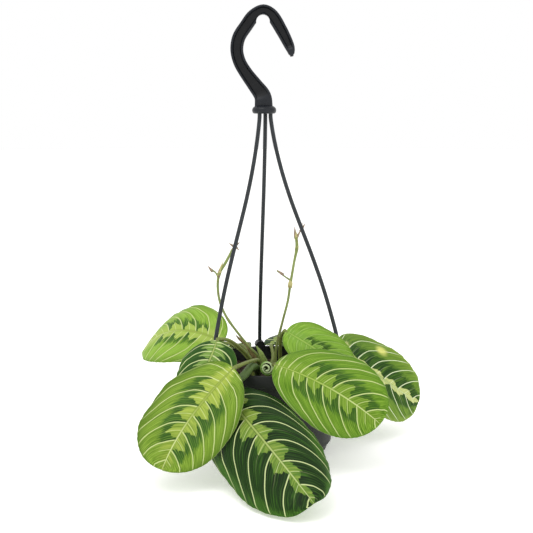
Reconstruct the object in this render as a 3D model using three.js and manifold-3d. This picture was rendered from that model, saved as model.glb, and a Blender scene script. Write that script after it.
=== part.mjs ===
// A potted prayer plant (maranta) in a black plastic hanging pot with a three-strand hanger.
// Millimetres, +Z up. The origin is the middle of the pot's foot, on the surface it stands on.
// -Y is the front, where the largest leaf comes down to the surface.
import * as THREE from 'three';
import { mergeVertices } from 'three/addons/utils/BufferGeometryUtils.js';
import Module from 'manifold-3d';

const wasm = await Module();
wasm.setup();

// ---- Driving dimensions -------------------------------------------------------------------

const potHeight = 79;
const rimRadius = 60;
const rimDepth = 11; // the rolled band round the mouth
const wallRadiusTop = 57.5;
const wallRadiusFoot = 54;
const footRadius = 49;
const footDepth = 9; // the part under the wall that curves in to the foot
const potWall = 2;
const potFloor = 2.4;
const potSides = 36;
const drainRadius = 3;
const drainCircle = 34; // radius of the ring of drain holes in the floor

const earAngles = { left: 219.4, right: -20.6, back: 99.4 }; // degrees round the pot
const earRadius = 64; // from the pot's axis to a socket's axis
const earTop = 84;
const earBottom = 65;
const earWidth = 9;
const earInner = 57; // an ear's inner face, inside the rim's wall
const earOuter = 68;

const soilLevel = 68;
const soilGap = 0.5; // between the soil and the pot
const soilSides = 28;
const rootDepth = 16; // how deep a stem stands in the soil
const rootGap = 0.4; // round a stem, in its hole

const strandRadius = 1.75;
const socketRadius = 2.15;
const socketDepth = 7;
const seatGap = 0.3; // between the end of a strand and the floor of its socket

const hangerAxis = new THREE.Vector3(-6, 0, 0); // the hanger leans a little to the left
const collarBottom = 297;
const collarHeight = 7;
const collarRadius = 10.4; // at the bead round its foot
const neckRadius = 7.8;
const collarSocketRadius = 5.6; // from the collar's axis to a socket's axis
const collarSocketAngles = { left: 225, right: -8, back: 80 };
const collarSocketDepth = 5;
const hookThickness = 8;
const hookFlange = 1.8;
const hookWeb = 3;

const bladeThickness = 0.8;
const surfaceGap = 0.4; // under a leaf that rests on the surface
const surfaceEase = 6; // a leaf eases on to the surface over this height
const bladeRows = 15;
const bladeColumns = 6;

const degree = Math.PI / 180;
const mix = (a, b, t) => a + (b - a) * t;
const vector = ([x, y, z]) => new THREE.Vector3(x, y, z);

// ---- Materials ----------------------------------------------------------------------------

const material = (color, roughness) => new THREE.MeshStandardMaterial({ color, roughness, metalness: 0 });
const blackPlastic = material('#232527', 0.5);
const soilMix = material('#2a201a', 0.95);
const lightLeaf = material('#6fa03a', 0.45);
const darkLeaf = material('#3f7030', 0.45);
const stemGreen = material('#7d8c3c', 0.55);
const flowerStem = material('#8f8a45', 0.6);
const drySheath = material('#8a6a44', 0.85);

// ---- Solids -------------------------------------------------------------------------------

function toSolid(geometry) {
  const bare = geometry.clone();
  bare.deleteAttribute('normal');
  bare.deleteAttribute('uv');
  const merged = mergeVertices(bare, 1e-4);
  const mesh = new wasm.Mesh({
    numProp: 3,
    vertProperties: new Float32Array(merged.attributes.position.array),
    triVerts: new Uint32Array(merged.index.array),
  });
  return new wasm.Manifold(mesh);
}

function toGeometry(solid) {
  const { vertProperties, triVerts } = solid.getMesh();
  const geometry = new THREE.BufferGeometry();
  geometry.setAttribute('position', new THREE.BufferAttribute(new Float32Array(vertProperties), 3));
  geometry.setIndex(new THREE.BufferAttribute(new Uint32Array(triVerts), 1));
  return geometry;
}

const fuse = (geometries) => geometries.map(toSolid).reduce((whole, next) => whole.add(next));

function cut(solid, geometries) {
  return geometries.map(toSolid).reduce((rest, next) => rest.subtract(next), solid);
}

// A closed body through a list of rings, each ring the same number of points, capped at both ends.
function loft(rings) {
  const around = rings[0].length;
  const positions = rings.flat().flatMap((point) => point.toArray());
  const index = [];
  for (let i = 0; i < rings.length - 1; i++) {
    for (let j = 0; j < around; j++) {
      const a = i * around + j;
      const b = i * around + ((j + 1) % around);
      index.push(a, b, a + around, b, b + around, a + around);
    }
  }
  const last = (rings.length - 1) * around;
  for (let j = 1; j < around - 1; j++) {
    index.push(0, j + 1, j, last, last + j, last + j + 1);
  }
  const geometry = new THREE.BufferGeometry();
  geometry.setAttribute('position', new THREE.Float32BufferAttribute(positions, 3));
  geometry.setIndex(index);
  return geometry;
}

// A stem through hand-placed points. radii is [across, through] at each of the points.
function stemRings(points, radii, { sides = 8, steps = 12, side = new THREE.Vector3(1, 0, 0) } = {}) {
  const curve = new THREE.CatmullRomCurve3(points, false, 'centripetal');
  const rings = [];
  const across = side.clone();
  for (let i = steps; i >= 0; i--) {
    const t = i / steps;
    const centre = curve.getPoint(t);
    const along = curve.getTangent(t);
    across.addScaledVector(along, -across.dot(along)).normalize();
    const through = new THREE.Vector3().crossVectors(across, along);
    const place = t * (radii.length - 1);
    const k = Math.min(Math.floor(place), radii.length - 2);
    const wide = mix(radii[k][0], radii[k + 1][0], place - k);
    const thick = mix(radii[k][1], radii[k + 1][1], place - k);
    const ring = [];
    for (let j = 0; j < sides; j++) {
      const angle = Math.PI - ((j + 0.5) / sides) * 2 * Math.PI;
      ring.push(
        centre
          .clone()
          .addScaledVector(across, wide * Math.cos(angle))
          .addScaledVector(through, thick * Math.sin(angle)),
      );
    }
    rings.unshift(ring);
  }
  return rings;
}

// ---- Pot and soil -------------------------------------------------------------------------

const earPlace = (angle, radius, z) =>
  new THREE.Vector3(radius * Math.cos(angle * degree), radius * Math.sin(angle * degree), z);

function ear(angle) {
  const outline = new THREE.Shape();
  const shoulder = earTop - earWidth / 2 - earBottom;
  const taper = 5; // the ear narrows towards its lower end over this height
  outline.moveTo(-earWidth / 2 + 1.5, 0);
  outline.lineTo(earWidth / 2 - 1.5, 0);
  outline.lineTo(earWidth / 2, taper);
  outline.lineTo(earWidth / 2, shoulder);
  outline.absarc(0, shoulder, earWidth / 2, 0, Math.PI, false);
  outline.lineTo(-earWidth / 2, taper);
  const depth = earOuter - earInner;
  const block = new THREE.ExtrudeGeometry(outline, { depth, bevelEnabled: false, curveSegments: 5 });
  block.translate(0, 0, -depth / 2);
  block.rotateX(Math.PI / 2);
  block.rotateZ((angle + 90) * degree);
  const { x, y } = earPlace(angle, (earInner + earOuter) / 2, 0);
  block.translate(x, y, earBottom);
  return block;
}

function socket(angle, radius, bottom, top) {
  const hole = new THREE.CylinderGeometry(socketRadius, socketRadius, top - bottom, 10);
  hole.rotateX(Math.PI / 2);
  const { x, y } = earPlace(angle, radius, (top + bottom) / 2);
  hole.translate(x, y, (top + bottom) / 2);
  return hole;
}

// A turned solid from [radius, z] pairs, listed from the bottom of the axis to the top of it.
function turned(profile, sides) {
  const body = new THREE.LatheGeometry(profile.map(([radius, z]) => new THREE.Vector2(radius, z)), sides);
  return body.rotateX(Math.PI / 2);
}

function potGeometry() {
  const rimFoot = potHeight - rimDepth;
  const outside = turned([
    [0, 0], [footRadius - 1, 0], [footRadius + 1, 1.5], [wallRadiusFoot - 1.5, footDepth - 2],
    [wallRadiusFoot, footDepth], [wallRadiusTop, rimFoot], [rimRadius - 0.5, rimFoot + 1],
    [rimRadius, potHeight - 1], [rimRadius - 0.8, potHeight], [0, potHeight],
  ], potSides);
  const inside = turned([
    [0, potFloor], [footRadius - potWall, potFloor], [wallRadiusFoot - potWall, footDepth],
    [wallRadiusTop - potWall, rimFoot], [rimRadius - potWall - 0.6, potHeight - 1],
    [rimRadius - potWall, potHeight + 20], [0, potHeight + 20],
  ], potSides);
  const drains = [30, 90, 150, 210, 270, 330].map((angle) => {
    const hole = new THREE.CylinderGeometry(drainRadius, drainRadius, 3 * potFloor, 8);
    hole.rotateX(Math.PI / 2);
    const { x, y } = earPlace(angle, drainCircle, 0);
    return hole.translate(x, y, potFloor / 2);
  });
  const angles = Object.values(earAngles);
  const body = fuse([outside, ...angles.map(ear)]);
  const sockets = angles.map((angle) => socket(angle, earRadius, earTop - socketDepth, earTop + 5));
  return toGeometry(cut(body, [inside, ...sockets, ...drains]));
}

function soilGeometry(stems) {
  const edge = wallRadiusTop - potWall - soilGap - 0.6;
  const inset = potWall + soilGap;
  const surfaceRadii = [edge, 47, 36, 24, 12, 0];
  const body = turned([
    [0, potFloor + soilGap], [footRadius - inset - 0.1, potFloor + soilGap],
    [wallRadiusFoot - inset, footDepth + 0.3], [edge, soilLevel - 4],
    ...surfaceRadii.map((radius) => [radius, soilLevel]),
  ], soilSides);
  const place = body.attributes.position;
  for (let i = 0; i < place.count; i++) {
    const [x, y, z] = [place.getX(i), place.getY(i), place.getZ(i)];
    if (z > soilLevel - 1 && Math.hypot(x, y) < edge - 1) {
      const bumps = Math.sin(x * 0.31 + 1) * Math.cos(y * 0.27) + 0.6 * Math.sin(x * 0.13 - y * 0.19);
      place.setZ(i, z + bumps);
    }
  }
  const length = rootDepth + 10; // comes out above the bumps
  const holes = stems.map(({ x, y, radius }) => {
    const hole = new THREE.CylinderGeometry(radius + rootGap, radius + rootGap, length, 10);
    hole.rotateX(Math.PI / 2);
    return hole.translate(x, y, soilLevel - rootDepth - seatGap + length / 2);
  });
  return toGeometry(cut(toSolid(body), holes));
}

// ---- Hanger -------------------------------------------------------------------------------

// How far out a strand has spread at each height: 0 at the collar, 1 at the pot's ear.
const strandSpread = [
  [collarBottom + collarSocketDepth - seatGap, 0], [collarBottom, 0], [collarBottom - 3, 0], [275, 0.05],
  [250, 0.15], [225, 0.28], [200, 0.435], [175, 0.595], [150, 0.742], [125, 0.868], [104, 0.958],
  [earTop + 4, 1], [earTop, 1], [earTop - socketDepth + seatGap, 1],
];

function strandGeometry(side) {
  const start = earPlace(collarSocketAngles[side], collarSocketRadius, 0).add(hangerAxis);
  const end = earPlace(earAngles[side], earRadius, 0);
  const points = strandSpread.map(([z, spread]) => start.clone().lerp(end, spread).setZ(z));
  const round = new THREE.Shape();
  const corners = [0, 45, 90, 135, 180, 225, 270, 315].map((turn) => earPlace(turn, strandRadius, 0));
  round.setFromPoints(corners);
  const extrudePath = new THREE.CatmullRomCurve3(points, false, 'centripetal');
  return new THREE.ExtrudeGeometry(round, { extrudePath, steps: 26, bevelEnabled: false });
}

// The hook's middle line, from the collar up and round to the tip: [x, z, half width].
const hookLine = [
  [-6.3, collarBottom + 5, 7.8], [-7.4, 312, 7.3], [-14, 321.4, 6.4], [-21.4, 331.3, 5.7],
  [-27, 340.8, 5.5], [-29.4, 351, 5.5], [-27.6, 361.5, 5.6], [-21.5, 371, 5.6], [-15, 379.5, 5.5],
  [-6.6, 384.4, 4.6], [1.2, 379.5, 5.3], [8.4, 368.2, 5.1], [13.7, 358.2, 4.6], [16.5, 351.8, 3.8],
  [17.8, 345.5, 1.8],
];

const hookSeat = { x: -7, z: 374.9, radius: 5.8 }; // the rounded seat that a rail sits in

function ribbon(line, inset, depth) {
  const middle = new THREE.CatmullRomCurve3(line.map(([x, z, half]) => new THREE.Vector3(x, z, half)));
  const left = [];
  const right = [];
  const steps = 28;
  for (let i = 0; i <= steps; i++) {
    const t = i / steps;
    const { x, y, z: half } = middle.getPoint(t);
    const along = middle.getTangent(t).setZ(0).normalize();
    const reach = half - inset;
    left.push(new THREE.Vector2(x - along.y * reach, y + along.x * reach));
    right.unshift(new THREE.Vector2(x + along.y * reach, y - along.x * reach));
  }
  const shape = new THREE.Shape([...left, ...right]);
  const strip = new THREE.ExtrudeGeometry(shape, { depth, bevelEnabled: false });
  strip.translate(0, 0, -depth / 2);
  return strip.rotateX(Math.PI / 2);
}

function hookGeometry() {
  const beam = ribbon(hookLine, 0, hookThickness);
  const collarTop = collarHeight + 5; // the collar closes in round the foot of the hook
  const collar = turned([
    [0, 0], [collarRadius - 2, 0], [collarRadius - 0.5, 1], [collarRadius, 2.5],
    [collarRadius - 0.1, 4], [collarRadius - 1.2, 5.6], [neckRadius, collarHeight + 0.5],
    [neckRadius - 0.4, collarHeight + 2.5], [6, collarTop], [0, collarTop],
  ], 20).translate(hangerAxis.x, 0, collarBottom);
  const pocketLine = hookLine.slice(1, -1);
  const pocketDepth = (hookThickness - hookWeb) / 2;
  const pocketMiddle = (hookThickness - pocketDepth + 1) / 2;
  const pockets = [-1, 1].map((face) =>
    ribbon(pocketLine, hookFlange, pocketDepth + 1).translate(0, face * pocketMiddle, 0));
  const socketTop = collarBottom + collarSocketDepth;
  const sockets = Object.values(collarSocketAngles).map((angle) =>
    socket(angle, collarSocketRadius, collarBottom - 1, socketTop).translate(hangerAxis.x, 0, 0));
  const seat = new THREE.CylinderGeometry(hookSeat.radius, hookSeat.radius, 2 * hookThickness, 28);
  const hollows = [...pockets, seat.translate(hookSeat.x, 0, hookSeat.z)];
  return toGeometry(cut(cut(toSolid(beam), hollows).add(toSolid(collar)), sockets));
}

// ---- Leaves -------------------------------------------------------------------------------

// A stem stands straight in its hole and a little way above the soil.
const upFrom = (x, y) =>
  [soilLevel - rootDepth, soilLevel + 1, soilLevel + 4].map((z) => [x, y, z]);

// Each leaf's blade starts at base and runs length along its midrib. Pairs are the values at the base
// and at the tip: heading is round from +X, pitch is up from level, roll lifts the right side, and
// cup is how far the left and the right half curl down. stem is the stalk's route up from the soil, and
// sheath is its [across, through] radii, where it is wrapped in a wide one. full is how squarely the left
// and the right half's outline is rounded, where it isn't as usual.
const leaves = [
  {
    name: 'leaf_front_left', colour: lightLeaf, base: [-31, -80, 91.4], length: 105, width: 75,
    heading: [196, 250], pitch: [-43, -40], roll: [30, 25], cup: [16, 18], wave: 1.8,
    stem: [[-13, -22], [-12, -26, 78], [-11, -34, 86.5], [-19, -59, 91.5]],
  },
  {
    name: 'leaf_front', colour: darkLeaf, base: [-42, -64, 68], length: 154, width: 88,
    heading: [297, 304], pitch: [-14, -26], roll: [-43, -35], cup: [76, 36], wave: 0.6, full: [2.2, 2.7],
    stem: [[-12, -30], [-12, -35, 79], [-17, -50, 84.6], [-22.5, -62, 81], [-34, -67, 72]],
    sheath: [[2.2, 2.2], [2.2, 2.2], [2.4, 2.4], [3.2, 3], [4.4, 3.6], [4.8, 3.6], [3.4, 2.6], [1.8, 1.6]],
  },
  {
    name: 'leaf_right', colour: lightLeaf, base: [3, -61, 89.9], length: 101.5, width: 73.5,
    heading: [345, 345], pitch: [-14, -39], roll: [-22, -74], cup: [20, 12], wave: 0.8,
    stem: [[9, -27], [8.5, -34, 80], [5.5, -52, 88]],
  },
  {
    name: 'leaf_upper_right', colour: lightLeaf, base: [13, -21, 110], length: 68, width: 43,
    heading: [340, 335], pitch: [-26, -30], roll: [-50, -50], cup: [8, -20], wave: 0.8,
    stem: [[9, -7], [8, -8, 84], [9, -16, 105]],
  },
  {
    name: 'leaf_far_right', colour: darkLeaf, base: [60, 16, 93], length: 108, width: 72,
    heading: [366, 395], pitch: [-44, -31], roll: [-26, -78], cup: [8, 13], wave: 0.6,
    stem: [[18, 4], [20, 4.5, 82], [34, 9, 95], [49, 14, 98]],
  },
  {
    name: 'leaf_upper_left', colour: lightLeaf, base: [-43, 3, 94.5], length: 108, width: 62,
    heading: [154, 131], pitch: [23, -47], roll: [58, 36], cup: [50, 30], wave: 0.8,
    stem: [[-15, -7], [-17, -8, 78], [-27, -3, 89], [-37, 1, 94]],
  },
  {
    name: 'leaf_left', colour: darkLeaf, base: [-46, -46.5, 107.5], length: 66, width: 52,
    heading: [254, 202], pitch: [-42, -62], roll: [2, 36], cup: [46, 29], wave: 0.6,
    stem: [[-15, -14.5], [-17, -17, 82], [-25, -25, 94], [-37, -39, 106]],
  },
  {
    name: 'leaf_back', colour: darkLeaf, base: [0.5, 37, 85], length: 84, width: 40,
    heading: [61, 69], pitch: [25, -66], roll: [10, 4], cup: [35, 35], wave: 0.6,
    stem: [[1, 18], [2, 21, 76], [1, 30, 82.5]],
  },
  {
    name: 'leaf_back_left', colour: lightLeaf, base: [-33, 43, 84], length: 98, width: 60,
    heading: [118, 106], pitch: [-14, -80], roll: [6, 0], cup: [15, 15], wave: 0.8,
    stem: [[-15, 16], [-17, 20, 77], [-27, 35, 84.5]],
  },
  {
    name: 'leaf_back_right', colour: darkLeaf, base: [39, 34, 86], length: 94, width: 60,
    heading: [35, 29], pitch: [2, -78], roll: [-6, 0], cup: [15, 15], wave: 0.6,
    stem: [[15, 15], [18, 18, 77], [30, 30, 86]],
  },
];

const petioleRadius = 1.5;
const petioleRoot = 2.2; // wider where the sheath wraps it, down in the soil
const bladeFold = 6; // degrees that each half rises beside the midrib
const ribDepth = 1.3; // how far the midrib stands out under the blade, at its base
const waves = 2.5; // ripples along each margin
const outlinePower = 2.2; // how squarely a blade's outline is rounded

const alongMidrib = (leaf, t) => {
  const heading = mix(...leaf.heading, t) * degree;
  const pitch = mix(...leaf.pitch, t) * degree;
  return new THREE.Vector3(
    Math.cos(pitch) * Math.cos(heading), Math.cos(pitch) * Math.sin(heading), Math.sin(pitch));
};

function midribOf(leaf) {
  const steps = 60;
  const points = [vector(leaf.base)];
  for (let i = 0; i < steps; i++) {
    const step = alongMidrib(leaf, i / steps).add(alongMidrib(leaf, (i + 1) / steps));
    points.push(points[i].clone().addScaledVector(step, leaf.length / steps / 2));
  }
  return points;
}

function bladeFrame(leaf, midrib, t) {
  const place = t * (midrib.length - 1);
  const k = Math.min(Math.floor(place), midrib.length - 2);
  const centre = midrib[k].clone().lerp(midrib[k + 1], place - k);
  const along = alongMidrib(leaf, t);
  const heading = mix(...leaf.heading, t) * degree;
  const level = new THREE.Vector3(Math.sin(heading), -Math.cos(heading), 0);
  const across = level.applyAxisAngle(along, -mix(...leaf.roll, t) * degree);
  const up = new THREE.Vector3().crossVectors(across, along);
  return { centre, across, up };
}

// An ovate outline: full and round at the base, a little narrower at the tip.
function halfWidth(leaf, t, s) {
  const power = leaf.full?.[s < 0 ? 0 : 1] ?? outlinePower;
  return (leaf.width / 2) * Math.max(1 - Math.abs(2 * t ** 0.95 - 1) ** power, 0) ** (1 / power);
}

// A point of the blade: t along it, s from -1 at the left margin to 1 at the right one, depth below.
function bladePoint(leaf, frame, t, s, depth) {
  const half = Math.max(halfWidth(leaf, t, s), 0.6);
  const curl = leaf.cup[s < 0 ? 0 : 1] * degree;
  const fold = bladeFold * degree;
  const reach = Math.abs(s);
  const slope = fold - curl * reach;
  const out = ((Math.sin(fold) - Math.sin(slope)) / curl) * half * Math.sign(s);
  const rise = ((Math.cos(slope) - Math.cos(fold)) / curl) * half;
  const wave = leaf.wave * reach ** 3 * Math.sin(Math.PI * t) * Math.sin(waves * 2 * Math.PI * t + 2 * s);
  const point = frame.centre.clone().addScaledVector(frame.across, out).addScaledVector(frame.up, rise);
  const normal = frame.up.clone().multiplyScalar(Math.cos(slope))
    .addScaledVector(frame.across, -Math.sign(s) * Math.sin(slope));
  point.addScaledVector(normal, wave);
  const lowest = bladeThickness + surfaceGap;
  const over = point.z - lowest - surfaceEase;
  if (over < 0) point.z = lowest + surfaceEase * Math.exp(over / surfaceEase);
  return point.addScaledVector(normal, -depth);
}

function bladeRing(leaf, midrib, t) {
  const frame = bladeFrame(leaf, midrib, t);
  const ring = [];
  for (let j = 0; j <= bladeColumns; j++) {
    ring.push(bladePoint(leaf, frame, t, (2 * j) / bladeColumns - 1, 0));
  }
  for (let j = bladeColumns; j >= 0; j--) {
    const rib = j === bladeColumns / 2 ? ribDepth * (1 - t) : 0;
    ring.push(bladePoint(leaf, frame, t, (2 * j) / bladeColumns - 1, bladeThickness + rib));
  }
  return ring;
}

function leafGeometry(leaf) {
  const midrib = midribOf(leaf);
  const base = vector(leaf.base);
  const [foot, ...rest] = leaf.stem;
  const route = [
    ...upFrom(...foot).map(vector),
    ...rest.map(vector),
    base.clone().addScaledVector(alongMidrib(leaf, 0), -1.2).addScaledVector(
      bladeFrame(leaf, midrib, 0).up, -bladeThickness),
  ];
  const { across } = bladeFrame(leaf, midrib, 0);
  const plain = [petioleRoot, petioleRoot, 1.8, petioleRadius, petioleRadius].map((r) => [r, r]);
  const radii = leaf.sheath ?? plain;
  const rings = stemRings(route, radii, { sides: 2 * (bladeColumns + 1), steps: 9, side: across });
  for (let i = 1; i <= bladeRows; i++) {
    rings.push(bladeRing(leaf, midrib, (1 - Math.cos((Math.PI * i) / bladeRows)) / 2));
  }
  return loft(rings);
}

// ---- Young growth, sheaths and flower stalks ----------------------------------------------

// A new leaf, still rolled up, that points to the front.
const rolledLeaf = {
  points: [...upFrom(-3, -18), [-3, -21, 77], [-3, -33, 82], [-3, -46, 83.5]],
  radii: [[2.2, 2.2], [2.2, 2.2], [2.3, 2.3], [3, 3], [4.8, 4.8], [5.8, 5.8]],
};

const greenBract = {
  points: [...upFrom(-3, -8), [-4, -9, 78], [-8, -10, 87], [-12.5, -10, 94]],
  radii: [[2.2, 2.2], [2.2, 2.2], [2.6, 2], [3.6, 1.6], [2.8, 1], [0.6, 0.5]],
};

const dryBract = {
  points: [...upFrom(-11, 6), [-13, 5, 80], [-20, 4, 91], [-31, 3, 101]],
  radii: [[2.2, 2.2], [2.2, 2.2], [2.8, 2], [4.4, 1.2], [3.4, 0.8], [0.6, 0.4]],
};

const leftFlower = {
  main: [...upFrom(-9, -3), [-12, -4, 84], [-19, -5, 92], [-28, -4, 103], [-40, -3, 120], [-46, -2, 136],
    [-46, -2, 156], [-40, -1, 167], [-34, 1, 178], [-31.5, 1, 182]],
  radii: [2, 2, 1.6, 1.4, 1.3, 1.2, 1.2, 1.2, 1.3, 1.5, 1.2, 0.8],
  side: [[-46, -2, 153], [-48.5, -2, 158], [-52, -2, 161]],
};

const rightFlower = {
  main: [...upFrom(4, 6), [4.5, 5.5, 88], [10.5, 5, 114], [15, 5, 132], [17, 5, 146], [18, 5, 152],
    [20.5, 5, 167], [22.8, 5, 180], [22, 5, 189], [21, 5, 194]],
  radii: [2, 2, 1.6, 1.4, 1.2, 1.2, 1.3, 1.4, 1.2, 1.7, 1.4, 0.8],
  side: [[18, 5, 150], [12, 5, 154], [5.5, 5, 159]],
};

const plainStem = ({ points, radii }) => loft(stemRings(points.map(vector), radii));

function flowerGeometry({ main, radii, side }) {
  const stalk = loft(stemRings(main.map(vector), radii.map((r) => [r, r]), { sides: 6, steps: 22 }));
  const branch = loft(stemRings(side.map(vector), [[1, 1], [0.9, 0.9], [1.3, 1.3]], { sides: 6, steps: 5 }));
  return toGeometry(fuse([stalk, branch]));
}

// ---- The plant ----------------------------------------------------------------------------

const plant = new THREE.Group();

function add(name, geometry, look) {
  geometry.computeVertexNormals();
  const mesh = new THREE.Mesh(geometry, look);
  mesh.name = name;
  plant.add(mesh);
}

const roots = [
  ...leaves.map(({ stem: [[x, y]] }) => ({ x, y, radius: petioleRoot })),
  ...[rolledLeaf, greenBract, dryBract].map(({ points: [[x, y]] }) => ({ x, y, radius: petioleRoot })),
  ...[leftFlower, rightFlower].map(({ main: [[x, y]], radii: [radius] }) => ({ x, y, radius })),
];

add('pot', potGeometry(), blackPlastic);
add('soil', soilGeometry(roots), soilMix);
add('hanger_hook', hookGeometry(), blackPlastic);
for (const side of Object.keys(earAngles)) {
  add(`hanger_strand_${side}`, strandGeometry(side), blackPlastic);
}
for (const leaf of leaves) add(leaf.name, leafGeometry(leaf), leaf.colour);
add('rolled_leaf', plainStem(rolledLeaf), stemGreen);
add('green_bract', plainStem(greenBract), stemGreen);
add('dry_bract', plainStem(dryBract), drySheath);
add('flower_stalk_left', flowerGeometry(leftFlower), flowerStem);
add('flower_stalk_right', flowerGeometry(rightFlower), flowerStem);

export default plant;
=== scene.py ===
# A potted prayer plant in a black hanging pot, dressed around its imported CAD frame.
# Metres, +Z up, -Y to the front. The dictionaries are in millimetres and degrees.
import random
from math import cos, exp, hypot, pi, radians, sin, sqrt
import bmesh
import bpy
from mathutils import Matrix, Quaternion, Vector, noise


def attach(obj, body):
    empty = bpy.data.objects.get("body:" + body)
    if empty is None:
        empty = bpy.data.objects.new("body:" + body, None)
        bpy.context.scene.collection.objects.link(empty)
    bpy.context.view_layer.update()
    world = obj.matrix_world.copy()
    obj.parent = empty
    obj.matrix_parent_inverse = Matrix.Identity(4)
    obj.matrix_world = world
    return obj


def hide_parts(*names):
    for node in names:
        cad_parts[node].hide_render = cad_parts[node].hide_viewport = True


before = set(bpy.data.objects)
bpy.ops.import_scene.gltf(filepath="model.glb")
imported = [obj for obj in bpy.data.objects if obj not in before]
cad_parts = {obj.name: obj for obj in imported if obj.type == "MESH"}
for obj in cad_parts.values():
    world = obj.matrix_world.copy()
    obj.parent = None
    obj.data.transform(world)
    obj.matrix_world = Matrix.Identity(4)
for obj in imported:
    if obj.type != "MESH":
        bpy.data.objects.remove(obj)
mm = 0.001

for leftOver in ("Cube", "Light", "Camera"):
    if leftOver in bpy.data.objects:
        bpy.data.objects.remove(bpy.data.objects[leftOver])
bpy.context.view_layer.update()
bpy.context.scene.view_settings.view_transform = "Standard"
print("frame loaded with", len(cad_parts), "nodes")


# Shader nodes

def sign(operation, swapped=False):
    # what a wire does in a sum, with a number or with another wire
    def work(wire, other):
        return wire.finish.maths(operation, *([other, wire] if swapped else [wire, other]))
    return work


class Wire:
    # A shader socket that can be used in sums.
    __add__, __radd__ = sign("ADD"), sign("ADD", True)
    __sub__, __rsub__ = sign("SUBTRACT"), sign("SUBTRACT", True)
    __mul__, __rmul__ = sign("MULTIPLY"), sign("MULTIPLY", True)
    __truediv__, __pow__ = sign("DIVIDE"), sign("POWER")

    def __init__(self, finish, socket):
        self.finish = finish
        self.socket = socket


class Finish:
    # One material and the nodes that make it.
    def __init__(self, name):
        self.material = bpy.data.materials.new(name)
        self.material.use_nodes = True
        self.tree = self.material.node_tree
        self.surface = self.tree.nodes["Principled BSDF"]

    def feed(self, socket, value):
        if isinstance(value, Wire):
            self.tree.links.new(value.socket, socket)
        else:
            socket.default_value = value

    def node(self, kind, settings, values, out=0):
        made = self.tree.nodes.new(kind)
        for key, setting in settings.items():
            setattr(made, key, setting)
        for key, value in values.items() if isinstance(values, dict) else enumerate(values):
            self.feed(made.inputs[key], value)
        return Wire(self, made.outputs[out])

    def maths(self, operation, *values):
        return self.node("ShaderNodeMath", {"operation": operation}, values)

    def blend(self, factor, *colours):
        first, second = [tint(colour) if isinstance(colour, str) else colour for colour in colours]
        return self.node("ShaderNodeMix", {"data_type": "RGBA"}, {0: factor, 6: first, 7: second}, 2)

    def step(self, value, low, high):
        # 0 below low, 1 above high, smooth between
        return self.node("ShaderNodeMapRange", {"interpolation_type": "SMOOTHSTEP"},
                         {0: value, 1: low, 2: high, 3: 0.0, 4: 1.0})

    def grain(self, place, scale, detail):
        return self.node("ShaderNodeTexNoise", {}, {"Vector": place, "Scale": scale, "Detail": detail})

    def place(self):
        # the point of the piece, in millimetres
        point = self.node("ShaderNodeTexCoord", {}, [], 3)
        return self.node("ShaderNodeVectorMath", {"operation": "SCALE"}, {0: point, "Scale": 1 / mm})

    def stretched(self, place, x, y, z):
        return self.node("ShaderNodeVectorMath", {"operation": "MULTIPLY"}, [place, (x, y, z)])

    def part(self, place, axis):
        return self.node("ShaderNodeSeparateXYZ", {}, [place], axis)

    def joined(self, x, y, z):
        return self.node("ShaderNodeCombineXYZ", {}, [x, y, z])

    def distance(self, here, there):
        return self.node("ShaderNodeVectorMath", {"operation": "DISTANCE"}, [here, there], 1)

    def dress(self, colour, roughness, height=None, depth=0.0, **fixed):
        values = {"Base Color": colour, "Roughness": roughness}
        for name, value in fixed.items():
            values[name.replace("_", " ")] = value
        if height is not None:
            bump = {"Height": height, "Distance": depth, "Strength": 1.0}
            values["Normal"] = self.node("ShaderNodeBump", {}, bump)
        for name, value in values.items():
            self.feed(self.surface.inputs[name], value)
        return self.material


def tint(code, light=1.0):
    # a colour as a painter writes it, "rrggbb", made linear
    channels = [int(code[i:i + 2], 16) / 255 for i in (0, 2, 4)]
    linear = [c / 12.92 if c <= 0.04045 else ((c + 0.055) / 1.055) ** 2.4 for c in channels]
    return (*[c * light for c in linear], 1.0)


# Modelling helpers

def pick(piece):
    if bpy.context.object is not None and bpy.context.object.mode != "OBJECT":
        bpy.ops.object.mode_set(mode="OBJECT")
    bpy.ops.object.select_all(action="DESELECT")
    piece.select_set(True)
    bpy.context.view_layer.objects.active = piece


def applyAll(piece):
    pick(piece)
    for modifier in list(piece.modifiers):
        bpy.ops.object.modifier_apply(modifier=modifier.name)


def joinPieces(first, *others):
    pick(first)
    for other in others:
        other.select_set(True)
    bpy.ops.object.join()
    return first


def settle(piece):
    # the place goes into the mesh, so that the object sits at the origin
    pick(piece)
    bpy.ops.object.transform_apply(location=True, rotation=True, scale=True)


def finishPiece(piece, name, node, slot, *materials):
    piece.name = name
    piece.data.name = name
    if materials:
        piece.data.materials.clear()
        for material in materials:
            piece.data.materials.append(material)
    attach(piece, "root")
    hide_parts(node)
    print("made", name, len(piece.data.polygons), "faces")


def mix(a, b, t):
    return a + (b - a) * t


def ramp(value, low, high):
    return min(max((value - low) / (high - low), 0), 1)


def spot(x, y, z):
    return Vector((x, y, z)) * mm


def span(points, t):
    # the four points around t, and how far t is between the middle two
    place = t * (len(points) - 1)
    k = min(int(place), len(points) - 2)
    p1, p2 = points[k], points[k + 1]
    p0 = points[k - 1] if k > 0 else 2 * p1 - p2
    p3 = points[k + 2] if k + 2 < len(points) else 2 * p2 - p1
    return p0, p1, p2, p3, place - k


def cubic(p1, p2, t1, t2, w):
    # the curve that leaves p1 along t1 and arrives at p2 along t2
    return p1 + t1 * w + (3 * (p2 - p1) - 2 * t1 - t2) * w ** 2 + (2 * (p1 - p2) + t1 + t2) * w ** 3


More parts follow.
